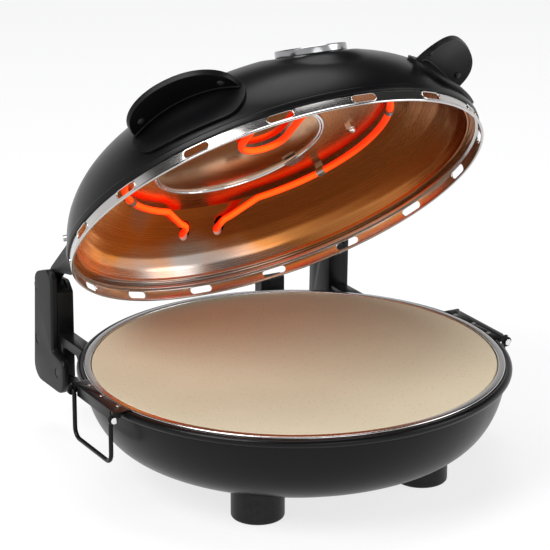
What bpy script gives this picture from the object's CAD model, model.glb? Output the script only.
import bpy
import math
from mathutils import Matrix, Vector


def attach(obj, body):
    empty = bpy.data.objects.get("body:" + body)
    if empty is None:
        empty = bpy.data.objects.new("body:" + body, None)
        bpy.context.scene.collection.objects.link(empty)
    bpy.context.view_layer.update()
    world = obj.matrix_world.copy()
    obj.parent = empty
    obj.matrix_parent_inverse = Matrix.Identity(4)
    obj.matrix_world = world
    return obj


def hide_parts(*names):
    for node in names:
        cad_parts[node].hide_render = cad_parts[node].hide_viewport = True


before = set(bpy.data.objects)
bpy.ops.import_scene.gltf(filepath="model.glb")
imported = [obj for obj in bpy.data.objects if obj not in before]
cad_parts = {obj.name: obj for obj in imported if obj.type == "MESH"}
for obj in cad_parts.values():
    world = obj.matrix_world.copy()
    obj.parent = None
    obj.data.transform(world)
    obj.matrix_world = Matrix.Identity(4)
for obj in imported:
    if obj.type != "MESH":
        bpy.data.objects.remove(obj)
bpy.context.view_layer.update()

mm = 0.001
place = {"baseY": -10.0, "rimZ": 94.0, "pivotY": 174.0, "pivotZ": 28.0, "lidAngle": 41.4}
baseSpot = Matrix.Translation((0, place["baseY"] * mm, place["rimZ"] * mm))
pivotSpot = Matrix.Translation((0, place["pivotY"] * mm, place["pivotZ"] * mm))
lidTurn = Matrix.Rotation(-math.radians(place["lidAngle"]), 4, "X")
lidSpot = baseSpot @ pivotSpot @ lidTurn @ pivotSpot.inverted()
mirrorX = Matrix.Diagonal((-1, 1, 1, 1))


# camera, light and floor

camera = {
    "spot": (-1015.7, -1805.4, 861.9), "lens": 176.98, "sensor": 36, "clipEnd": 20,
    "right": (0.8741, -0.4857, 0.0), "back": (-0.4602, -0.8282, 0.3200),
}


def addCamera():
    right = Vector(camera["right"]).normalized()
    back = Vector(camera["back"]).normalized()
    up = back.cross(right)
    turn = Matrix((right, up, back)).transposed().to_4x4()
    bpy.ops.object.camera_add()
    cam = bpy.context.object
    cam.name = "viewCamera"
    cam.matrix_world = Matrix.Translation(Vector(camera["spot"]) * mm) @ turn
    cam.data.lens = camera["lens"]
    cam.data.sensor_width = camera["sensor"]
    cam.data.clip_end = camera["clipEnd"]
    bpy.context.scene.camera = cam


lights = {
    "key": {"spot": (-1.5, -0.4, 1.6), "size": 1.3, "power": 38},
    "fill": {"spot": (1.7, -1.3, 1.0), "size": 1.4, "power": 16},
    "top": {"spot": (0.2, 0.4, 2.3), "size": 1.6, "power": 25},
    "front": {"spot": (-0.3, -2.4, 0.5), "size": 1.3, "power": 8},
}
lampTarget = (0, 0, 0.15)


def addLights():
    for name, light in lights.items():
        bpy.ops.object.light_add(type="AREA", location=light["spot"])
        lamp = bpy.context.object
        lamp.name = name + "Light"
        lamp.data.shape = "DISK"
        lamp.data.size = light["size"]
        lamp.data.energy = light["power"]
        aim = Vector(lampTarget) - Vector(light["spot"])
        lamp.rotation_euler = aim.to_track_quat("-Z", "Y").to_euler()


def mathNode(tree, operation, first, second):
    node = tree.nodes.new("ShaderNodeMath")
    node.operation = operation
    tree.links.new(first, node.inputs[0])
    tree.links.new(second, node.inputs[1])
    return node.outputs[0]


def seenBy(tree):
    # 1 where the eye, a mirror or glass looks, 0 for the light that falls on things
    path = tree.nodes.new("ShaderNodeLightPath")
    seen = path.outputs["Is Camera Ray"]
    for kind in ("Is Glossy Ray", "Is Transmission Ray"):
        seen = mathNode(tree, "MAXIMUM", seen, path.outputs[kind])
    return seen


studio = {"tone": (0.95, 0.97, 1, 1), "light": 0.22, "paleUpTo": 0.29, "darkFrom": 0.43, "dark": 0.05}


def addWorld():
    # white backdrop round the horizon, dim studio ceiling above it
    world = bpy.data.worlds.new("studio")
    world.use_nodes = True
    tree = world.node_tree
    nodes, links = tree.nodes, tree.links
    nodes.clear()
    out = nodes.new("ShaderNodeOutputWorld")
    room = nodes.new("ShaderNodeBackground")
    room.inputs["Color"].default_value = studio["tone"]
    room.inputs["Strength"].default_value = studio["light"]
    seen = nodes.new("ShaderNodeBackground")
    where = nodes.new("ShaderNodeTexCoord")
    split = nodes.new("ShaderNodeSeparateXYZ")
    links.new(where.outputs["Generated"], split.inputs[0])
    fade = nodes.new("ShaderNodeMapRange")
    fade.interpolation_type = "SMOOTHSTEP"
    fade.inputs["From Min"].default_value = studio["paleUpTo"]
    fade.inputs["From Max"].default_value = studio["darkFrom"]
    fade.inputs["To Min"].default_value = 1.0
    fade.inputs["To Max"].default_value = studio["dark"]
    links.new(split.outputs["Z"], fade.inputs["Value"])
    links.new(fade.outputs["Result"], seen.inputs["Strength"])
    mix = nodes.new("ShaderNodeMixShader")
    links.new(seenBy(tree), mix.inputs["Fac"])
    links.new(room.outputs[0], mix.inputs[1])
    links.new(seen.outputs[0], mix.inputs[2])
    links.new(mix.outputs[0], out.inputs["Surface"])
    bpy.context.scene.world = world


ground = {"size": 12, "bounce": 0.8, "seen": 0.24, "glow": 0.77}


def addFloor():
    bpy.ops.mesh.primitive_plane_add(size=ground["size"])
    floor = bpy.context.object
    floor.name = "floor"
    mat = bpy.data.materials.new("paleFloor")
    mat.use_nodes = True
    nodes, links = mat.node_tree.nodes, mat.node_tree.links
    nodes.clear()
    out = nodes.new("ShaderNodeOutputMaterial")
    bounce = nodes.new("ShaderNodeBsdfDiffuse")
    bounce.inputs["Color"].default_value = (*[ground["bounce"]] * 3, 1)
    shaded = nodes.new("ShaderNodeBsdfDiffuse")
    shaded.inputs["Color"].default_value = (*[ground["seen"]] * 3, 1)
    glow = nodes.new("ShaderNodeEmission")
    glow.inputs["Strength"].default_value = ground["glow"]
    both = nodes.new("ShaderNodeAddShader")
    mix = nodes.new("ShaderNodeMixShader")
    links.new(shaded.outputs[0], both.inputs[0])
    links.new(glow.outputs[0], both.inputs[1])
    links.new(seenBy(mat.node_tree), mix.inputs["Fac"])
    links.new(bounce.outputs[0], mix.inputs[1])
    links.new(both.outputs[0], mix.inputs[2])
    links.new(mix.outputs[0], out.inputs["Surface"])
    floor.data.materials.append(mat)


bpy.context.scene.view_settings.view_transform = "Standard"
addCamera()
addLights()
addWorld()
addFloor()
print("camera, light and floor are set")


# shader groups that several finishes share

noiseSpan = (0.3, 0.7)


def newGroup(name, inputs, outputs):
    group = bpy.data.node_groups.new(name, "ShaderNodeTree")
    for label, kind, value in inputs:
        socket = group.interface.new_socket(label, in_out="INPUT", socket_type=kind)
        if value is not None:
            socket.default_value = value
    for label, kind in outputs:
        group.interface.new_socket(label, in_out="OUTPUT", socket_type=kind)
    start = group.nodes.new("NodeGroupInput")
    end = group.nodes.new("NodeGroupOutput")
    return group, start, end


def noiseNode(tree, scale, detail, vector=None, rough=0.5):
    noise = tree.nodes.new("ShaderNodeTexNoise")
    noise.inputs["Scale"].default_value = scale
    noise.inputs["Detail"].default_value = detail
    noise.inputs["Roughness"].default_value = rough
    if vector is not None:
        tree.links.new(vector, noise.inputs["Vector"])
    return noise


def rangeNode(tree, value, low, high, toLow, toHigh):
    span = tree.nodes.new("ShaderNodeMapRange")
    span.inputs["From Min"].default_value = low
    span.inputs["From Max"].default_value = high
    span.inputs["To Min"].default_value = toLow
    span.inputs["To Max"].default_value = toHigh
    tree.links.new(value, span.inputs["Value"])
    return span.outputs["Result"]


def grainGroup():
    # fine cast grain with slow, faint clouding
    group, start, end = newGroup(
        "surfaceGrain",
        [
            ("Vector", "NodeSocketVector", None),
            ("Fine", "NodeSocketFloat", 900.0),
            ("Slow", "NodeSocketFloat", 18.0),
        ],
        [("Height", "NodeSocketFloat"), ("Cloud", "NodeSocketFloat")],
    )
    fine = noiseNode(group, 900, 3, start.outputs["Vector"], 0.6)
    group.links.new(start.outputs["Fine"], fine.inputs["Scale"])
    slow = noiseNode(group, 18, 4, start.outputs["Vector"], 0.55)
    group.links.new(start.outputs["Slow"], slow.inputs["Scale"])
    group.links.new(fine.outputs["Fac"], end.inputs["Height"])
    group.links.new(slow.outputs["Fac"], end.inputs["Cloud"])
    return group


def ringGroup():
    # turning marks that run round the middle axis of a spun part
    group, start, end = newGroup(
        "turnedRings",
        [("Vector", "NodeSocketVector", None), ("Lines", "NodeSocketFloat", 1500.0)],
        [("Lines", "NodeSocketFloat"), ("Cloud", "NodeSocketFloat")],
    )
    split = group.nodes.new("ShaderNodeSeparateXYZ")
    group.links.new(start.outputs["Vector"], split.inputs[0])
    flat = group.nodes.new("ShaderNodeCombineXYZ")
    group.links.new(split.outputs["X"], flat.inputs["X"])
    group.links.new(split.outputs["Y"], flat.inputs["Y"])
    radius = group.nodes.new("ShaderNodeVectorMath")
    radius.operation = "LENGTH"
    group.links.new(flat.outputs[0], radius.inputs[0])
    ring = group.nodes.new("ShaderNodeCombineXYZ")
    group.links.new(radius.outputs["Value"], ring.inputs["X"])
    group.links.new(split.outputs["Z"], ring.inputs["Y"])
    lines = noiseNode(group, 1500, 2, ring.outputs[0], 0.7)
    group.links.new(start.outputs["Lines"], lines.inputs["Scale"])
    cloud = noiseNode(group, 14, 3, start.outputs["Vector"], 0.5)
    group.links.new(lines.outputs["Fac"], end.inputs["Lines"])
    group.links.new(cloud.outputs["Fac"], end.inputs["Cloud"])
    return group


def wearGroup():
    # worn rims: bright where the form is sharp, broken up by noise
    group, start, end = newGroup(
        "edgeWear",
        [("Vector", "NodeSocketVector", None), ("Amount", "NodeSocketFloat", 0.3)],
        [("Mask", "NodeSocketFloat")],
    )
    geometry = group.nodes.new("ShaderNodeNewGeometry")
    edge = rangeNode(group, geometry.outputs["Pointiness"], 0.52, 0.62, 0.0, 1.0)
    spots = noiseNode(group, 160, 4, start.outputs["Vector"], 0.7)
    broken = rangeNode(group, spots.outputs["Fac"], 0.42, 0.6, 0.0, 1.0)
    both = mathNode(group, "MULTIPLY", edge, broken)
    scaled = mathNode(group, "MULTIPLY", both, start.outputs["Amount"])
    group.links.new(scaled, end.inputs["Mask"])
    return group


grain = grainGroup()
rings = ringGroup()
wear = wearGroup()


# finishes

def newMaterial(name, rough, metal=0.0, spot=None):
    mat = bpy.data.materials.new(name)
    mat.use_nodes = True
    nodes, links = mat.node_tree.nodes, mat.node_tree.links
    shader = nodes["Principled BSDF"]
    shader.inputs["Roughness"].default_value = rough
    shader.inputs["Metallic"].default_value = metal
    where = nodes.new("ShaderNodeTexCoord")
    vector = where.outputs["Object"]
    if spot is not None:
        # turns the pattern so that its Z is the part's own axis
        turn = nodes.new("ShaderNodeMapping")
        turn.vector_type = "POINT"
        back = spot.inverted()
        turn.inputs["Location"].default_value = back.to_translation()
        turn.inputs["Rotation"].default_value = back.to_euler()
        links.new(vector, turn.inputs["Vector"])
        vector = turn.outputs["Vector"]
    return mat, nodes, links, shader, vector


def placeGroup(mat, group, vector, **values):
    node = mat.node_tree.nodes.new("ShaderNodeGroup")
    node.node_tree = group
    mat.node_tree.links.new(vector, node.inputs["Vector"])
    for label, value in values.items():
        node.inputs[label].default_value = value
    return node


def blendColor(mat, fac, first, second):
    mix = mat.node_tree.nodes.new("ShaderNodeMix")
    mix.data_type = "RGBA"
    mix.inputs["A"].default_value = (*first, 1)
    mix.inputs["B"].default_value = (*second, 1)
    mat.node_tree.links.new(fac, mix.inputs["Factor"])
    return mix


def addBump(mat, shader, height, strength, distance):
    bump = mat.node_tree.nodes.new("ShaderNodeBump")
    bump.inputs["Strength"].default_value = strength
    bump.inputs["Distance"].default_value = distance
    mat.node_tree.links.new(height, bump.inputs["Height"])
    mat.node_tree.links.new(bump.outputs["Normal"], shader.inputs["Normal"])


def varyRough(mat, shader, value, rough, less, more):
    low, high = noiseSpan
    changed = rangeNode(mat.node_tree, value, low, high, rough - less, rough + more)
    mat.node_tree.links.new(changed, shader.inputs["Roughness"])


def coverColor(mat, shader, fac, below, color):
    # a second colour over the first, by a mask
    top = mat.node_tree.nodes.new("ShaderNodeMix")
    top.data_type = "RGBA"
    top.inputs["B"].default_value = (*color, 1)
    mat.node_tree.links.new(fac, top.inputs["Factor"])
    mat.node_tree.links.new(below.outputs["Result"], top.inputs["A"])
    mat.node_tree.links.new(top.outputs["Result"], shader.inputs["Base Color"])


def coatedMaterial(name, dark, light, rough, fine, bump, wearAmount, wearColor, shine=0.3):
    # paint and moulded plastic: clouded colour, grain bump, worn rims
    mat, nodes, links, shader, vector = newMaterial(name, rough)
    shader.inputs["Specular IOR Level"].default_value = shine
    surface = placeGroup(mat, grain, vector, Fine=fine)
    worn = placeGroup(mat, wear, vector, Amount=wearAmount)
    tone = blendColor(mat, surface.outputs["Cloud"], dark, light)
    coverColor(mat, shader, worn.outputs["Mask"], tone, wearColor)
    varyRough(mat, shader, surface.outputs["Cloud"], rough, 0.05, 0.06)
    addBump(mat, shader, surface.outputs["Height"], bump, 0.0002)
    return mat


def turnedMaterial(name, dark, light, rough, lines, bump, spot):
    # spun sheet metal: turning marks round its own axis
    mat, nodes, links, shader, vector = newMaterial(name, rough, 1.0, spot)
    surface = placeGroup(mat, rings, vector, Lines=lines)
    tone = blendColor(mat, surface.outputs["Cloud"], dark, light)
    links.new(tone.outputs["Result"], shader.inputs["Base Color"])
    varyRough(mat, shader, surface.outputs["Lines"], rough, 0.04, 0.06)
    addBump(mat, shader, surface.outputs["Lines"], bump, 0.0001)
    return mat


heatTint = {
    "coolSpot": (-0.005, 0.165, 0.035), "coolFrom": 0.09, "coolTo": 0.03, "drift": 0.16,
    "sideFrom": -0.05, "sideTo": 0.10, "patchScale": 10, "lines": 700.0, "bump": 0.05,
}


def heatTintMaterial(name, pale, bronze, brown, rough, spot):
    # spun sheet coloured by heat: bronze to brown across it, pale where it stays cooler
    mat, nodes, links, shader, vector = newMaterial(name, rough, 1.0, spot)
    surface = placeGroup(mat, rings, vector, Lines=heatTint["lines"])
    patches = noiseNode(mat.node_tree, heatTint["patchScale"], 2, vector, 0.45)
    half = 0.5 * heatTint["drift"]
    drift = rangeNode(mat.node_tree, patches.outputs["Fac"], *noiseSpan, -half, half)
    split = nodes.new("ShaderNodeSeparateXYZ")
    links.new(vector, split.inputs[0])
    across = mathNode(mat.node_tree, "ADD", split.outputs["X"], drift)
    deep = rangeNode(mat.node_tree, across, heatTint["sideFrom"], heatTint["sideTo"], 0.0, 1.0)
    warm = blendColor(mat, deep, bronze, brown)
    far = nodes.new("ShaderNodeVectorMath")
    far.operation = "DISTANCE"
    far.inputs[1].default_value = heatTint["coolSpot"]
    links.new(vector, far.inputs[0])
    shifted = mathNode(mat.node_tree, "ADD", far.outputs["Value"], drift)
    cool = rangeNode(mat.node_tree, shifted, heatTint["coolFrom"], heatTint["coolTo"], 0.0, 1.0)
    coverColor(mat, shader, cool, warm, pale)
    varyRough(mat, shader, surface.outputs["Lines"], rough, 0.04, 0.06)
    addBump(mat, shader, surface.outputs["Lines"], heatTint["bump"], 0.0001)
    return mat


stoneLook = {
    "dark": (0.53, 0.47, 0.33), "light": (0.64, 0.57, 0.42), "speck": (0.34, 0.26, 0.17),
    "speckScale": 260, "speckFrom": 0.08, "speckTo": 0.22, "speckDepth": 0.55,
    "fine": 420.0, "slow": 9.0, "rough": 0.9, "bump": 0.5,
}


def stoneMaterial():
    look = stoneLook
    mat, nodes, links, shader, vector = newMaterial("bakingStone", look["rough"])
    surface = placeGroup(mat, grain, vector, Fine=look["fine"], Slow=look["slow"])
    tone = blendColor(mat, surface.outputs["Cloud"], look["dark"], look["light"])
    specks = nodes.new("ShaderNodeTexVoronoi")
    specks.inputs["Scale"].default_value = look["speckScale"]
    links.new(vector, specks.inputs["Vector"])
    dots = rangeNode(mat.node_tree, specks.outputs["Distance"], look["speckFrom"], look["speckTo"],
                     look["speckDepth"], 0.0)
    coverColor(mat, shader, dots, tone, look["speck"])
    addBump(mat, shader, surface.outputs["Height"], look["bump"], 0.0004)
    return mat


glowLook = {
    "side": (0, -0.9, -0.43), "from": 0.35, "to": 0.92, "patch": 0.75, "strength": 2.4,
    "red": (0.36, 0.006, 0.0003), "yellow": (0.90, 0.075, 0.003),
    "dark": (0.55, 0.06, 0.015), "light": (0.8, 0.11, 0.02), "rough": 0.6, "shine": 0.1, "bump": 0.2,
}
hotSide = (lidSpot.to_3x3() @ Vector(glowLook["side"])).normalized()


def heaterMaterial():
    # sheath at red heat, a little darker in patches
    look = glowLook
    mat, nodes, links, shader, vector = newMaterial("hotSheath", look["rough"])
    shader.inputs["Specular IOR Level"].default_value = look["shine"]
    surface = placeGroup(mat, grain, vector, Fine=500.0, Slow=30.0)
    tone = blendColor(mat, surface.outputs["Cloud"], look["dark"], look["light"])
    links.new(tone.outputs["Result"], shader.inputs["Base Color"])
    # yellow on the side that faces out of the lid, red towards the steel behind
    where = nodes.new("ShaderNodeTexCoord")
    facing = nodes.new("ShaderNodeVectorMath")
    facing.operation = "DOT_PRODUCT"
    facing.inputs[1].default_value = hotSide
    links.new(where.outputs["Normal"], facing.inputs[0])
    core = rangeNode(mat.node_tree, facing.outputs["Value"], look["from"], look["to"], 0.0, 1.0)
    patch = rangeNode(mat.node_tree, surface.outputs["Cloud"], *noiseSpan, look["patch"], 1.0)
    warm = mathNode(mat.node_tree, "MULTIPLY", core, patch)
    glow = blendColor(mat, warm, look["red"], look["yellow"])
    links.new(glow.outputs["Result"], shader.inputs["Emission Color"])
    shader.inputs["Emission Strength"].default_value = look["strength"]
    addBump(mat, shader, surface.outputs["Height"], look["bump"], 0.0002)
    return mat


def plainMaterial(name, dark, light, rough, metal, fine):
    # metal, ceramic or wool with a faint grain
    mat, nodes, links, shader, vector = newMaterial(name, rough, metal)
    surface = placeGroup(mat, grain, vector, Fine=fine)
    tone = blendColor(mat, surface.outputs["Cloud"], dark, light)
    links.new(tone.outputs["Result"], shader.inputs["Base Color"])
    varyRough(mat, shader, surface.outputs["Cloud"], rough, 0.04, 0.08)
    addBump(mat, shader, surface.outputs["Height"], 0.15, 0.0001)
    return mat


enamel = coatedMaterial(
    "blackEnamel", (0.0025, 0.0025, 0.003), (0.0045, 0.0045, 0.005),
    0.3, 700.0, 0.05, 0.1, (0.04, 0.04, 0.04), 0.18)
plastic = coatedMaterial(
    "mouldedBlack", (0.003, 0.003, 0.0035), (0.006, 0.006, 0.0065),
    0.44, 1400.0, 0.14, 0.25, (0.05, 0.05, 0.05), 0.26)
earBlack = coatedMaterial(
    "earBlack", (0.002, 0.002, 0.0025), (0.004, 0.004, 0.0045),
    0.42, 1400.0, 0.12, 0.25, (0.04, 0.04, 0.04), 0.16)
plug = coatedMaterial(
    "plugBlack", (0.012, 0.012, 0.012), (0.02, 0.02, 0.02), 0.5, 1400.0, 0.14, 0.3, (0.08, 0.08, 0.08))
steel = turnedMaterial("spunSteel", (0.55, 0.54, 0.53), (0.68, 0.67, 0.66), 0.22, 1600.0, 0.08, baseSpot)
lidSteel = turnedMaterial("spunSteelLid", (0.50, 0.48, 0.47), (0.64, 0.62, 0.61), 0.15, 1600.0, 0.05, lidSpot)
tinted = heatTintMaterial(
    "heatTintedSteel", (0.50, 0.42, 0.38), (0.88, 0.31, 0.05), (0.42, 0.16, 0.045), 0.24, lidSpot)
discSteel = turnedMaterial("discSteel", (0.52, 0.24, 0.09), (0.66, 0.38, 0.20), 0.13, 700.0, 0.03, lidSpot)
chrome = plainMaterial("polishedChrome", (0.72, 0.72, 0.73), (0.78, 0.78, 0.79), 0.07, 1.0, 300.0)
zinc = plainMaterial("platedSteel", (0.36, 0.36, 0.36), (0.48, 0.48, 0.48), 0.32, 1.0, 600.0)
ceramic = plainMaterial("plainCeramic", (0.72, 0.69, 0.62), (0.80, 0.78, 0.72), 0.55, 0.0, 800.0)
wool = plainMaterial("mineralWool", (0.55, 0.50, 0.38), (0.68, 0.63, 0.52), 0.95, 0.0, 300.0)
capsule = plainMaterial("switchBody", (0.12, 0.08, 0.05), (0.18, 0.12, 0.08), 0.4, 0.0, 900.0)
coldSheath = plainMaterial("coldSheath", (0.06, 0.055, 0.05), (0.1, 0.09, 0.08), 0.5, 0.8, 900.0)
stone = stoneMaterial()
hot = heaterMaterial()
print("materials are made")


# modelling helpers

lineWeld = 0.000001
meshWeld = 0.000002
nearlyStraight = 1.55


def editMode():
    bpy.ops.object.mode_set(mode="EDIT")


def objectMode():
    bpy.ops.object.mode_set(mode="OBJECT")


def selectMesh():
    bpy.ops.mesh.select_all(action="SELECT")


def fixTransforms():
    bpy.ops.object.transform_apply(location=True, rotation=True, scale=True)


def freshStart():
    if bpy.context.object and bpy.context.object.mode != "OBJECT":
        objectMode()
    bpy.ops.object.select_all(action="DESELECT")


def pick(piece):
    freshStart()
    piece.select_set(True)
    bpy.context.view_layer.objects.active = piece


def traceLine(name, points, loop=False):
    # a plane merged to one vertex, then pulled from point to point, in mm
    freshStart()
    bpy.ops.mesh.primitive_plane_add(size=0.001)
    piece = bpy.context.object
    piece.name = name
    editMode()
    selectMesh()
    bpy.ops.mesh.merge(type="CENTER")
    here = Vector(points[0]) * mm
    bpy.ops.transform.translate(value=here)
    for point in list(points[1:]) + ([points[0]] if loop else []):
        there = Vector(point) * mm
        bpy.ops.mesh.extrude_region_move(TRANSFORM_OT_translate={"value": there - here})
        here = there
    selectMesh()
    bpy.ops.mesh.remove_doubles(threshold=lineWeld)
    return piece


def closeUp():
    selectMesh()
    bpy.ops.mesh.remove_doubles(threshold=meshWeld)
    bpy.ops.mesh.normals_make_consistent(inside=False)
    objectMode()


def turnRound(name, outline, steps=192):
    # a closed r-z outline spun round Z
    piece = traceLine(name, [(r, 0, z) for r, z in outline], True)
    selectMesh()
    bpy.ops.mesh.spin(steps=steps, angle=2 * math.pi, center=(0, 0, 0), axis=(0, 0, 1))
    closeUp()
    return piece


def pushOut(name, outline, low, high):
    # a closed y-z outline pushed out along X
    piece = traceLine(name, [(low, y, z) for y, z in outline], True)
    selectMesh()
    bpy.ops.mesh.edge_face_add()
    bpy.ops.mesh.extrude_region_move(TRANSFORM_OT_translate={"value": ((high - low) * mm, 0, 0)})
    closeUp()
    return piece


def softCorners(corners, steps=6):
    # rounds each (x, y, radius) corner of a closed outline
    points = []
    for index, (x, y, radius) in enumerate(corners):
        corner = Vector((x, y))
        before = Vector(corners[index - 1][:2])
        after = Vector(corners[(index + 1) % len(corners)][:2])
        toBefore = (before - corner).normalized()
        toAfter = (after - corner).normalized()
        half = toBefore.angle(toAfter) / 2
        if radius <= 0 or half > nearlyStraight:
            points.append((x, y))
            continue
        reach = radius / math.tan(half)
        middle = corner + (toBefore + toAfter).normalized() * radius / math.sin(half)
        start = corner + toBefore * reach - middle
        end = corner + toAfter * reach - middle
        sweep = start.angle_signed(end)
        for step in range(steps + 1):
            angle = -sweep * step / steps
            spot = middle + Matrix.Rotation(angle, 2) @ start
            points.append((spot.x, spot.y))
    return points


def useModifier(piece, kind, **settings):
    pick(piece)
    modifier = piece.modifiers.new(kind.lower(), kind)
    for label, value in settings.items():
        setattr(modifier, label, value)
    bpy.ops.object.modifier_apply(modifier=modifier.name)


def softEdges(piece, width, segments=3, limit=40):
    useModifier(piece, "BEVEL", width=width * mm, segments=segments, limit_method="ANGLE",
                angle_limit=math.radians(limit), harden_normals=False)


def cutAway(piece, cutter):
    useModifier(piece, "BOOLEAN", object=cutter, operation="DIFFERENCE", solver="EXACT")
    bpy.data.objects.remove(cutter)


def setPlace(piece, spot):
    # moves the mesh itself, and turns it right side out again after a mirror
    pick(piece)
    piece.matrix_world = spot @ piece.matrix_world
    fixTransforms()
    if spot.determinant() < 0:
        editMode()
        closeUp()


def copyOf(piece, name):
    twin = piece.copy()
    twin.data = piece.data.copy()
    twin.name = name
    bpy.context.collection.objects.link(twin)
    return twin


def joinAll(pieces, name):
    pick(pieces[0])
    for piece in pieces[1:]:
        piece.select_set(True)
    bpy.ops.object.join()
    pieces[0].name = name
    return pieces[0]


def tubeAlong(name, points, radius, loop=False, resolution=8):
    piece = traceLine(name, points, loop)
    objectMode()
    bpy.ops.object.convert(target="CURVE")
    line = bpy.context.object
    line.data.bevel_depth = radius * mm
    line.data.bevel_resolution = resolution
    line.data.use_fill_caps = True
    bpy.ops.object.convert(target="MESH")
    line = bpy.context.object
    editMode()
    closeUp()
    line.name = name
    return line


def arcPoints(middle, radius, start, end, count):
    # points on an arc in degrees, at the middle's height
    x, y, z = middle
    angles = [math.radians(start + (end - start) * i / count) for i in range(count + 1)]
    return [(x + radius * math.cos(a), y + radius * math.sin(a), z) for a in angles]


def finishPiece(piece, body, finish, nodes, smooth=32):
    pick(piece)
    bpy.ops.object.shade_smooth_by_angle(angle=math.radians(smooth))
    piece.data.materials.clear()
    piece.data.materials.append(finish)
    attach(piece, body)
    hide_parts(*nodes)


def softNode(node, name, width):
    # the node's own shape, merged to clean faces, with its edges eased
    twin = copyOf(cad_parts[node], name)
    twin.parent = None
    twin.matrix_world = Matrix.Identity(4)
    pick(twin)
    editMode()
    selectMesh()
    bpy.ops.mesh.remove_doubles(threshold=meshWeld)
    bpy.ops.mesh.dissolve_limited(angle_limit=math.radians(0.5))
    objectMode()
    softEdges(twin, width, 2)
    return twin


# base: bowl, rolled rim, pan, stone

bowl = {
    "rimR": 172.5, "depth": 72.0, "wall": 1.5, "sideBend": 0.273, "floorBend": 1.095,
    "firstAngle": 7.8, "lastAngle": 72.0,
}
ventSlot = {"count": 8, "middleR": 0.052, "size": (0.034, 0.004, 0.006), "corner": 0.0015}


def bowlLine(inset, count=40):
    # r-z line of the bowl's side, from the rim down to its floor
    points = []
    for i in range(count + 1):
        angle = math.radians(bowl["firstAngle"] + (bowl["lastAngle"] - bowl["firstAngle"]) * i / count)
        r = (bowl["rimR"] - inset) * math.cos(angle) ** bowl["sideBend"]
        z = -(bowl["depth"] - inset) * math.sin(angle) ** bowl["floorBend"]
        points.append((r, z))
    return points


def makeBowl():
    outside = bowlLine(0)
    inside = bowlLine(bowl["wall"])
    outline = outside + [(0, outside[-1][1]), (0, inside[-1][1])] + inside[::-1]
    piece = turnRound("baseBowl", outline, 240)
    vents = []
    for i in range(ventSlot["count"]):
        freshStart()
        bpy.ops.mesh.primitive_cube_add(size=1, location=(ventSlot["middleR"], 0, (outside[-1][1] + 1) * mm))
        vent = bpy.context.object
        vent.dimensions = ventSlot["size"]
        fixTransforms()
        useModifier(vent, "BEVEL", width=ventSlot["corner"], segments=3)
        setPlace(vent, Matrix.Rotation(math.radians(360 / ventSlot["count"] * i), 4, "Z"))
        vents.append(vent)
    cutAway(piece, joinAll(vents, "vents"))
    setPlace(piece, baseSpot)
    finishPiece(piece, "base", enamel, ["base_bowl"])


rim = {
    "tubeR": 3.38, "middleR": 173.6, "z": -4.5, "turns": 28, "sweep": 126,
    "collar": [
        (167.8, -1.9, 0.4), (167.8, -17, 0.5), (169.1, -17, 0.5), (170.35, -9.2, 0.5), (170.6, -5, 0.3),
    ],
}


def makeRim():
    # rolled lip, flattened inside where it closes on the collar
    arc = arcPoints((rim["middleR"], rim["z"], 0), rim["tubeR"], -rim["sweep"], rim["sweep"], rim["turns"])
    lip = [(x, y) for x, y, z in arc]
    collar = softCorners(rim["collar"], 3)
    piece = turnRound("rolledLip", lip, 288)
    inner = turnRound("lipCollar", collar, 288)
    piece = joinAll([piece, inner], "rimRing")
    setPlace(piece, baseSpot)
    finishPiece(piece, "base", enamel, ["rim_ring"])


pan = {"flangeR": 171.3, "wellR": 165.5, "ledgeZ": -11.5, "floorZ": -30.0, "sheet": 0.9}


def makePan():
    well, ledge, low, sheet = pan["wellR"], pan["ledgeZ"], pan["floorZ"], pan["sheet"]
    outline = softCorners([
        (pan["flangeR"], -1.8, 0.2), (pan["flangeR"], 0, 1.1), (well, 0, 1.0), (well, ledge, 0.6),
        (152, ledge, 2.5), (146, low, 5), (0, low, 0), (0, low - sheet, 0), (146.7, low - sheet, 6),
        (152.7, ledge - sheet, 3), (well + sheet, ledge - sheet, 1.4), (well + sheet, -sheet, 0.3),
        (170.4, -sheet, 0.2), (170.4, -1.8, 0.2),
    ], 5)
    piece = turnRound("bakingPan", outline, 288)
    setPlace(piece, baseSpot)
    finishPiece(piece, "base", steel, ["baking_pan"])


baking = {"radius": 164.8, "top": -0.5, "thick": 11.0, "edge": 1.3}


def makeStone():
    r, top, low, edge = baking["radius"], baking["top"], baking["top"] - baking["thick"], baking["edge"]
    outline = softCorners([(0, low, 0), (r, low, edge), (r, top, edge), (0, top, 0)], 6)
    piece = turnRound("bakingStone", outline, 240)
    setPlace(piece, baseSpot)
    finishPiece(piece, "base", stone, ["pizza_stone"])


makeBowl()
makeRim()
makePan()
makeStone()
print("base is made")


# lid: dome, skirt, reflector

dome = {
    "footR": 174.0, "footZ": 9.6, "height": 89.3, "wall": 1.2, "sideBend": 0.583, "crownBend": 1.0764,
    "lineSweep": 87, "lineCrowd": 1.6, "turns": 320,
    "hem": [
        (172.9, 15.0, 0.3), (172.9, 10.9, 0.3), (173.6, 10.2, 0.3),
        (175.5, 10.2, 0.8), (175.5, 14.9, 1.1), (173.3, 15.9, 0.5),
    ],
}
dialSeat = {
    "y": -129.4, "z": 72.2, "tilt": 24.5, "sink": 2.8, "flatR": 29.5, "ease": 14.0,
    "deepest": -0.03, "dieSize": 0.2,
}
dialTilt = Matrix.Rotation(math.radians(dialSeat["tilt"]), 4, "X")
dialPlace = Matrix.Translation((0, dialSeat["y"] * mm, dialSeat["z"] * mm)) @ dialTilt


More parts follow.
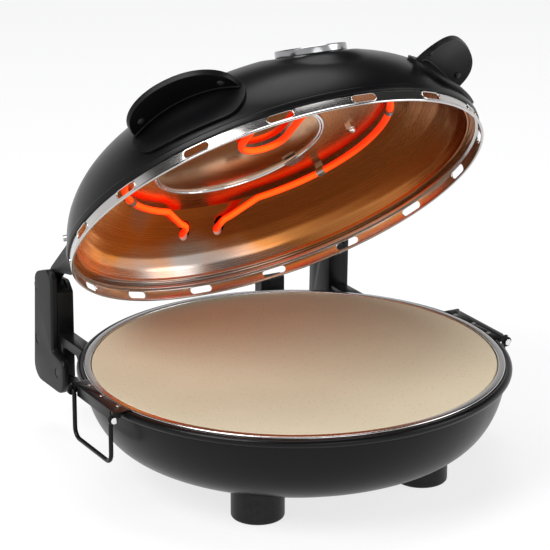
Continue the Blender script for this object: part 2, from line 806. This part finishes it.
def domeLine(inset, count=64):
    # r-z line from the foot to the crown, with its points closer near the crown
    points = []
    for i in range(count + 1):
        angle = math.radians(90 - dome["lineSweep"] * (1 - i / count) ** dome["lineCrowd"])
        r = (dome["footR"] - inset) * math.cos(angle) ** dome["sideBend"]
        z = dome["footZ"] + (dome["height"] - dome["footZ"] - inset) * math.sin(angle) ** dome["crownBend"]
        points.append((r, z))
    points[-1] = (0, dome["height"] - inset)
    return points


def pressFlat(piece):
    # presses the sheet flat under the dial and eases it out into the dome
    group = piece.vertex_groups.new(name="pressed")
    back = dialPlace.inverted()
    for vertex in piece.data.vertices:
        spot = back @ vertex.co
        near = (dialSeat["flatR"] + dialSeat["ease"] - math.hypot(spot.x, spot.y) / mm) / dialSeat["ease"]
        if near > 0 and spot.z > dialSeat["deepest"]:
            near = min(1, near)
            group.add([vertex.index], near * near * (3 - 2 * near), "REPLACE")
    freshStart()
    bpy.ops.mesh.primitive_plane_add(size=dialSeat["dieSize"])
    die = bpy.context.object
    setPlace(die, dialPlace @ Matrix.Translation((0, 0, -dialSeat["sink"] * mm)))
    useModifier(piece, "SHRINKWRAP", target=die, wrap_method="NEAREST_SURFACEPOINT", vertex_group="pressed")
    bpy.data.objects.remove(die)
    piece.vertex_groups.clear()


def makeDome():
    shell = traceLine("domeShell", [(r, 0, z) for r, z in domeLine(0, 96)])
    selectMesh()
    bpy.ops.mesh.spin(steps=dome["turns"], angle=2 * math.pi, center=(0, 0, 0), axis=(0, 0, 1))
    closeUp()
    pressFlat(shell)
    useModifier(shell, "SOLIDIFY", thickness=dome["wall"] * mm, offset=-1)
    # hem rolled outwards round the foot of the sheet
    root = turnRound("domeHem", softCorners(dome["hem"], 4), dome["turns"])
    piece = joinAll([shell, root], "lidDome")
    setPlace(piece, lidSpot)
    finishPiece(piece, "lid", enamel, ["lid_dome", "dial_seat"])


skirt = {
    "slots": 16, "firstAngle": 90.7, "slotWide": 21.0, "slotHigh": 6.4, "slotZ": 6.1,
    "lip": 0.45, "lipX": 174.45, "lipSlope": 0.1, "cutFrom": 168, "cutTo": 180,
    "wall": [
        (174.2, 0.5, 0.4), (175.2, 0.6, 0.5), (175.45, 1.6, 0.5), (174.9, 2.6, 0.3), (174.2, 9.9, 0.6),
        (172.1, 11, 0.5), (172.1, 15.2, 0.1), (171.4, 15.2, 0.1), (171.4, 10.6, 0.5), (173.5, 9.4, 0.6),
        (174.15, 2.7, 0.3), (173.3, 2.2, 0.4), (173.2, 0.9, 0.4),
    ],
}


def slotOutline(grow=0.0):
    # obround in the y-z plane
    high = skirt["slotHigh"] / 2 + grow
    reach = (skirt["slotWide"] - skirt["slotHigh"]) / 2
    right = arcPoints((reach, 0, 0), high, -90, 90, 12)
    left = arcPoints((-reach, 0, 0), high, 90, 270, 12)
    return [(x, y) for x, y, z in right + left]


def makeSkirt():
    # rolled hem at the foot, slots through the wall, a raised lip round each slot
    piece = turnRound("lidSkirt", softCorners(skirt["wall"], 3), 288)
    cutters, lips = [], []
    for i in range(skirt["slots"]):
        turn = Matrix.Rotation(math.radians(skirt["firstAngle"] + i * 360 / skirt["slots"]), 4, "Z")
        lift = Matrix.Translation((0, 0, skirt["slotZ"] * mm))
        cutter = pushOut("slot", slotOutline(), skirt["cutFrom"], skirt["cutTo"])
        setPlace(cutter, turn @ lift)
        cutters.append(cutter)
        path = [(skirt["lipX"] - skirt["lipSlope"] * z, y, z) for y, z in slotOutline(0.1)]
        ring = tubeAlong("slotLip", path, skirt["lip"], True, 2)
        setPlace(ring, turn @ lift)
        lips.append(ring)
    cutAway(piece, joinAll(cutters, "slots"))
    piece = joinAll([piece] + lips, "lidSkirt")
    setPlace(piece, lidSpot)
    finishPiece(piece, "lid", lidSteel, ["lid_skirt"])


reflector = {
    "ceiling": 60.5, "sheet": 0.7, "bend": 9.0, "skin": 0.45,
    "holeR": 5.45, "holeX": 16.5, "holeY": 0.142, "holeZ": 0.0482, "holeDepth": 0.03,
}


def makeReflector():
    # flange, groove, rolled bead and bell, from the outside in
    top, bend, sheet = reflector["ceiling"], reflector["bend"], reflector["sheet"]
    edge = [
        (171.8, 15.3, 0.2), (168.7, 15.3, 0.3), (168.3, 16.1, 0.1), (167.9, 15.6, 0.2),
        (167.9, 14.4, 0.9), (165.9, 14.4, 0.9), (165.7, 17.2, 1.5),
    ]
    bell = [
        (163.6, 25, bend * 2), (158.8, 33.2, bend * 2), (151, 41.2, bend * 2), (140, 48.6, bend * 2),
        (131, 54, bend), (122.5, 60.4, 2.5), (119, top, 1),
    ]
    back = [(r + reflector["skin"], z + sheet, radius) for r, z, radius in bell[::-1]]
    back += [(166.4, 17.9, 1.5), (168.0, 16.9, 0.5), (171.8, 16.0, 0.2)]
    outline = softCorners(edge + bell + [(0, top, 0), (0, top + sheet, 0)] + back, 6)
    piece = turnRound("lidReflector", outline, 288)
    holes = []
    for side in (-1, 1):
        freshStart()
        spot = (side * reflector["holeX"] * mm, reflector["holeY"], reflector["holeZ"])
        bpy.ops.mesh.primitive_cylinder_add(
            vertices=48, radius=reflector["holeR"] * mm, depth=reflector["holeDepth"], location=spot)
        hole = bpy.context.object
        hole.rotation_euler = (math.pi / 2, 0, 0)
        fixTransforms()
        holes.append(hole)
    cutAway(piece, joinAll(holes, "terminalHoles"))
    setPlace(piece, lidSpot)
    finishPiece(piece, "lid", tinted, ["lid_reflector"], 60)


disc = {"spot": (-10.5, 13.0, 0.0), "radius": 73.3, "under": 58.9, "over": 59.7}


def makeDisc():
    r, low, high = disc["radius"], disc["under"], disc["over"]
    spot = lidSpot @ Matrix.Translation(Vector(disc["spot"]) * mm)
    plate = softCorners([(0, low, 0), (r - 3, low, 0.3), (r - 3, high, 0.3), (0, high, 0)], 4)
    piece = turnRound("ceilingDisc", plate, 192)
    setPlace(piece, spot)
    finishPiece(piece, "lid", discSteel, ["ceiling_disc"], 50)
    # bright rolled rim with a step inside it
    band = softCorners([
        (r - 4.6, low, 0.2), (r - 4.4, 58.2, 0.3), (r - 2.9, 58.2, 0.3), (r - 2.5, 57.2, 0.5), (r, 57.2, 0.8),
        (r, 60.5, 0.1), (r - 0.8, 60.5, 0.1), (r - 3, high, 0.2), (r - 4.6, 59.5, 0.2),
    ], 4)
    ring = turnRound("discRim", band, 192)
    setPlace(ring, spot)
    finishPiece(ring, "lid", chrome, [], 50)


makeDome()
makeSkirt()
makeReflector()
makeDisc()
print("lid shell is made")


# heating tube under the lid

heater = {
    "tubeR": 2.9, "loopR": 114.0, "loopZ": 54.0, "foldR": 20.0, "foldY": -15.0, "turnR": 14.0,
    "straight": 4.0, "rearAngle": 66.0, "rearStep": 4,
    "legs": [(24, 128.5, 50.6), (19.4, 131.1, 49.8), (17.5, 133.4, 49), (16.5, 137, 48.2), (16.5, 152, 48.2)],
}


def heaterSide():
    # right half of the route, from the fold round to the terminal
    h = heater
    big, reach = h["loopR"] - h["turnR"], h["foldR"] + h["turnR"]
    front = math.degrees(math.acos(reach / math.hypot(big, h["straight"])) - math.atan2(h["straight"], big))
    a = math.radians(front)
    leave = Vector((math.cos(a), -math.sin(a))) * h["loopR"]
    meet = leave - Vector((math.sin(a), math.cos(a))) * h["straight"]
    middle = meet - Vector((math.cos(a), -math.sin(a))) * h["turnR"]
    fold = arcPoints((0, h["foldY"], h["loopZ"]), h["foldR"], 90, 0, 14)
    turn = arcPoints((middle.x, middle.y, h["loopZ"]), h["turnR"], 180, 360 - front, 24)
    loop = arcPoints((0, 0, h["loopZ"]), h["loopR"], -front, h["rearAngle"], 64)
    r, step = math.radians(h["rearAngle"]), h["rearStep"]
    x = h["loopR"] * math.cos(r) - step * math.sin(r)
    y = h["loopR"] * math.sin(r) + step * math.cos(r)
    off = (x, y, h["loopZ"])
    return fold + turn + loop + [off] + h["legs"]


def makeHeater():
    side = heaterSide()
    other = [(-x, y, z) for x, y, z in side[::-1]]
    piece = tubeAlong("heaterTube", other + side[1:], heater["tubeR"])
    setPlace(piece, lidSpot)
    finishPiece(piece, "lid", hot, ["upper_element"], 60)


makeHeater()
print("heater is made")


# ear handles

earScrew = {"radius": 3.0, "rise": 1.5, "x": 34.6, "y": 168.0}
ear = {
    "angle": 44.5, "ballR": 105.0, "ballY": 190.9, "ballZ": -45.0, "lean": 109.6, "thick": 4.4, "edge": 1.2,
    "far": 100.0, "long": 48.8, "high": 33.3, "root": -4.0, "blunt": 2.66,
    "creaseR": 1.0, "creaseHalf": 46,
}


def gridCut(piece, xs, other, normal, plane):
    # cuts a flat face into a fine grid, one way then the other
    editMode()
    for x in xs:
        selectMesh()
        bpy.ops.mesh.bisect(plane_co=(x * mm, 0, 0), plane_no=(1, 0, 0))
    for step in other:
        selectMesh()
        bpy.ops.mesh.bisect(plane_co=Vector(plane) * step * mm, plane_no=normal)
    objectMode()


def hoodOutline(count=36):
    # blunt leaf, cut straight along its root
    points = []
    for i in range(count + 1):
        angle = math.pi * i / count
        x = math.copysign(abs(math.cos(angle)) ** (2 / ear["blunt"]), math.cos(angle))
        points.append((ear["long"] * x, ear["high"] * math.sin(angle) ** (2 / ear["blunt"])))
    return points + [(-ear["long"], ear["root"]), (ear["long"], ear["root"])]


def makeEarHood():
    # the flat leaf cast on a ball, then given its thickness
    hood = traceLine("earHood", [(x, y, ear["far"]) for x, y in hoodOutline()], True)
    selectMesh()
    bpy.ops.mesh.edge_face_add()
    gridCut(hood, range(-45, 46, 5), range(0, 33, 4), (0, 1, 0), (0, 1, 0))
    useModifier(hood, "CAST", cast_type="SPHERE", factor=1, use_radius_as_size=False, radius=0,
                size=ear["ballR"] * mm)
    useModifier(hood, "SOLIDIFY", thickness=ear["thick"] * mm, offset=0)
    editMode()
    closeUp()
    softEdges(hood, ear["edge"], 4, 60)
    tip = Matrix.Rotation(math.radians(ear["lean"] - 90), 4, "X")
    setPlace(hood, Matrix.Translation((0, ear["ballY"] * mm, ear["ballZ"] * mm)) @ tip)
    return hood


pad = {
    "outline": [(-49.5, 20.5, 19), (48.5, 21.5, 18), (48.5, 55, 15), (-49.5, 55, 15)],
    "thick": 3.6, "lift": 3.4, "liftReach": 20.0, "middleZ": 46.0, "halfLong": 48.0, "halfHigh": 24.5,
    "drawnAt": 230, "liftFrom": 0.86, "edge": 1.2,
}


def makeEarPad():
    # outline drawn in front of the dome and dropped on to it
    shape = softCorners(pad["outline"], 8)
    piece = traceLine("earPad", [(x, pad["drawnAt"], z) for x, z in shape], True)
    selectMesh()
    bpy.ops.mesh.edge_face_add()
    gridCut(piece, range(-48, 49, 3), range(23, 55, 3), (0, 0, 1), (0, 0, 1))
    form = turnRound("domeForm", [(0, 0), (dome["footR"], 0)] + domeLine(0), 256)
    useModifier(piece, "SHRINKWRAP", target=form, wrap_method="PROJECT", use_project_y=True,
                use_negative_direction=True, use_positive_direction=True, offset=0.0001)
    bpy.data.objects.remove(form)
    # the front edge and the ends stand off the dome
    pick(piece)
    for vertex in piece.data.vertices:
        across = vertex.co.x / mm / pad["halfLong"]
        down = (vertex.co.z / mm - pad["middleZ"]) / pad["halfHigh"]
        vertex.select = down < 0 and across ** 4 + down ** 4 > pad["liftFrom"]
    editMode()
    bpy.ops.transform.translate(value=(0, pad["lift"] * mm, 0), use_proportional_edit=True,
                                proportional_edit_falloff="SMOOTH", proportional_size=pad["liftReach"] * mm)
    objectMode()
    useModifier(piece, "SOLIDIFY", thickness=pad["thick"] * mm, offset=1)
    editMode()
    closeUp()
    softEdges(piece, pad["edge"], 3, 50)
    return piece


def makeEarCrease():
    # thin bead where the hood rises from the pad: halves an angle until the pad meets the ball
    points = []
    wide, tall = dome["footR"] + pad["thick"], dome["height"] - dome["footZ"] + pad["thick"]
    for x in range(-ear["creaseHalf"], ear["creaseHalf"] + 1, 4):
        low, high = 12.0, 80.0
        for _ in range(30):
            angle = (low + high) / 2
            r = wide * math.cos(math.radians(angle)) ** dome["sideBend"]
            z = dome["footZ"] + tall * math.sin(math.radians(angle)) ** dome["crownBend"]
            y = math.sqrt(max(0, r * r - x * x))
            gap = math.dist((x, y, z), (0, ear["ballY"], ear["ballZ"])) - (ear["ballR"] - ear["thick"] / 2)
            low, high = (angle, high) if gap < 0 else (low, angle)
        points.append((x, y, z))
    return tubeAlong("earCrease", points, ear["creaseR"], False, 3)


def makeEarScrew(side):
    # low round head on the inside of the hood
    freshStart()
    bpy.ops.mesh.primitive_uv_sphere_add(segments=32, ring_count=16, radius=earScrew["radius"] * mm)
    head = bpy.context.object
    head.name = "earScrew"
    head.scale = (1, 1, earScrew["rise"] / earScrew["radius"])
    fixTransforms()
    seat = Vector((side * earScrew["x"], earScrew["y"], 0))
    inside = ear["ballR"] - ear["thick"] / 2
    seat.z = math.sqrt(inside ** 2 - seat.x ** 2 - (seat.y - ear["ballY"]) ** 2) + ear["ballZ"]
    inward = Vector((0, ear["ballY"], ear["ballZ"])) - seat
    setPlace(head, Matrix.Translation(seat * mm) @ inward.to_track_quat("Z", "Y").to_matrix().to_4x4())
    return head


def makeEars():
    hood = makeEarHood()
    base = makeEarPad()
    whole = joinAll([hood, base, makeEarCrease()], "earLeft")
    twin = copyOf(whole, "earRight")
    spot = lidSpot @ Matrix.Rotation(math.radians(180 - ear["angle"]), 4, "Z")
    # the right ear mirrors the left
    setPlace(whole, spot)
    setPlace(twin, mirrorX @ spot)
    heads = []
    for turn in (spot, mirrorX @ spot):
        for side in (-1, 1):
            head = makeEarScrew(side)
            setPlace(head, turn)
            heads.append(head)
    finishPiece(joinAll(heads, "earScrews"), "lid", plug, ["ear_screws"], 60)
    finishPiece(whole, "lid", earBlack, ["ear_left"])
    finishPiece(twin, "lid", earBlack, ["ear_right"])


makeEars()
print("ears are made")


# hinge posts and their covers

post = {
    "coverIn": 138.5, "coverOut": 144.4, "edge": 2.2, "innerEdge": 0.5,
    "cover": [
        (156.8, 53.5, 9), (191, 42, 9), (197.5, -54, 14),
        (136.5, -54, 14), (136.8, -24, 7), (158.8, -19.5, 4),
    ],
    "plugs": [(187.2, 30.6), (187.6, -17.3), (149.2, -36)],
    "boreR": 4.45, "boreDepth": 0.004, "boreX": 0.1443,
}


def easeFaceRim(piece, x, width):
    # rounds the rim of the face that lies at x
    pick(piece)
    editMode()
    bpy.ops.mesh.select_mode(type="FACE")
    bpy.ops.mesh.select_all(action="DESELECT")
    objectMode()
    for face in piece.data.polygons:
        face.select = abs(face.center.x - x * mm) < 0.0001
    editMode()
    bpy.ops.mesh.region_to_loop()
    bpy.ops.mesh.bevel(offset=width * mm, segments=5, profile=0.5, affect="EDGES")
    bpy.ops.mesh.select_mode(type="VERT")
    objectMode()


def makePosts():
    cover = pushOut("postCoverRight", softCorners(post["cover"], 8), post["coverIn"], post["coverOut"])
    easeFaceRim(cover, post["coverOut"], post["edge"])
    easeFaceRim(cover, post["coverIn"], post["innerEdge"])
    bores = []
    for y, z in post["plugs"]:
        freshStart()
        spot = (post["boreX"], y * mm, z * mm)
        bpy.ops.mesh.primitive_cylinder_add(
            vertices=48, radius=post["boreR"] * mm, depth=post["boreDepth"], location=spot)
        bore = bpy.context.object
        bore.rotation_euler = (0, math.pi / 2, 0)
        fixTransforms()
        bores.append(bore)
    cutAway(cover, joinAll(bores, "plugBores"))
    setPlace(cover, baseSpot)
    twin = copyOf(cover, "postCoverLeft")
    setPlace(twin, mirrorX)
    finishPiece(cover, "base", plastic, ["post_cover_right"])
    finishPiece(twin, "base", plastic, ["post_cover_left"])
    for side in ("left", "right"):
        body = softNode("hinge_post_" + side, "hingePost" + side.title(), 0.6)
        finishPiece(body, "base", enamel, ["hinge_post_" + side])
        arm = softNode("lid_arm_" + side, "lidArm" + side.title(), 0.5)
        finishPiece(arm, "lid", plastic, ["lid_arm_" + side])
        bracket = softNode("post_bracket_" + side, "postBracket" + side.title(), 0.3)
        finishPiece(bracket, "base", enamel, ["post_bracket_" + side])


makePosts()
print("posts are made")


# wire bails at the sides

bail = {
    "wireR": 1.8, "x": 182.0, "z": -6.0, "leg": 33.0, "drop": 38.0,
    "corner": 8.0, "cornerSteps": 8, "bend": 3.0, "bendSteps": 6, "end": 39.2,
}


def bailPath():
    # end, small bend, leg, round corner, then the same again the other way
    b = bail
    low = b["z"] - b["drop"]
    top = [(b["x"], b["end"], b["z"]), (b["x"], b["leg"] + b["bend"], b["z"])]
    for i in range(1, b["bendSteps"] + 1):
        a = math.radians(90 * i / b["bendSteps"])
        y = b["leg"] + b["bend"] * (1 - math.sin(a))
        top.append((b["x"], y, b["z"] - b["bend"] * (1 - math.cos(a))))
    for i in range(b["cornerSteps"] + 1):
        a = math.radians(90 * i / b["cornerSteps"])
        y = b["leg"] - b["corner"] * (1 - math.cos(a))
        top.append((b["x"], y, low + b["corner"] * (1 - math.sin(a))))
    return top + [(x, -y, z) for x, y, z in top[::-1]]


def makeBails():
    right = tubeAlong("bailRight", bailPath(), bail["wireR"], False, 6)
    setPlace(right, baseSpot)
    left = copyOf(right, "bailLeft")
    # the left side mirrors the right
    setPlace(left, mirrorX)
    finishPiece(right, "bail_r", enamel, ["bail_right"], 60)
    finishPiece(left, "bail_l", enamel, ["bail_left"], 60)
    for side, body in (("left", "bail_l"), ("right", "bail_r")):
        bracket = softNode("bail_bracket_" + side, "bailBracket" + side.title(), 0.2)
        finishPiece(bracket, "base", enamel, ["bail_bracket_" + side])
        caps = softNode("bail_caps_" + side, "bailCaps" + side.title(), 0.35)
        finishPiece(caps, body, chrome, ["bail_caps_" + side])


makeBails()
print("bails are made")


# dial on the dome

dial = {
    "radius": 28.2, "top": 3.15, "foot": -2.4, "wall": 1.5, "crown": 1.4,
    "notchIn": 3.2, "notchUp": 0.5, "notch": (0.0016, 0.0036, 0.002),
}
knobSteel = turnedMaterial(
    "spunKnob", (0.27, 0.27, 0.28), (0.40, 0.40, 0.41), 0.18, 1100.0, 0.05, lidSpot @ dialPlace)


def makeDial():
    r, top, foot, wall = dial["radius"], dial["top"], dial["foot"], dial["wall"]
    under = top - dial["crown"]
    outline = softCorners([
        (0, top - 0.3, 0), (r - 6, top - 0.3, 0.4), (r - 5.5, top, 0.4), (r - 0.7, top, 0.25),
        (r, top - 0.7, 0.25), (r, top - 1.7, 0), (r, foot, 0.3), (r - wall, foot, 0.2),
        (r - wall, under, 0.3), (3, under, 0.1), (3, top - 0.6, 0), (0, top - 0.6, 0),
    ], 4)
    knob = turnRound("dialKnob", outline)
    # pointer notch in the raised rim
    freshStart()
    spot = (0, (r - dial["notchIn"]) * mm, (top + dial["notchUp"]) * mm)
    bpy.ops.mesh.primitive_cube_add(size=1, location=spot)
    mark = bpy.context.object
    mark.dimensions = dial["notch"]
    fixTransforms()
    cutAway(knob, mark)
    setPlace(knob, lidSpot @ dialPlace)
    finishPiece(knob, "dial", knobSteel, ["dial_knob"])


makeDial()
print("dial is made")


# small parts that keep their own mesh

fit = {
    "lower_element": coldSheath, "lower_element_clips": zinc, "heat_shield": steel, "insulation_pad": wool,
    "thermal_fuse": capsule, "terminal_block": ceramic, "rear_cover": plastic, "cord_gland": plastic,
    "feet": plastic, "foot_screws": zinc, "bracket_rivets": zinc, "post_plugs": plug, "hinge_pins": zinc,
    "element_bushings": ceramic, "element_clips": zinc, "disc_clip": zinc, "ceiling_nuts": chrome,
    "arm_screws": zinc, "dial_shaft": zinc, "thermostat": capsule, "thermostat_nut": zinc,
}
for node, finish in fit.items():
    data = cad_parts[node].data
    data.materials.clear()
    data.materials.append(finish)
print("small parts have their finishes")
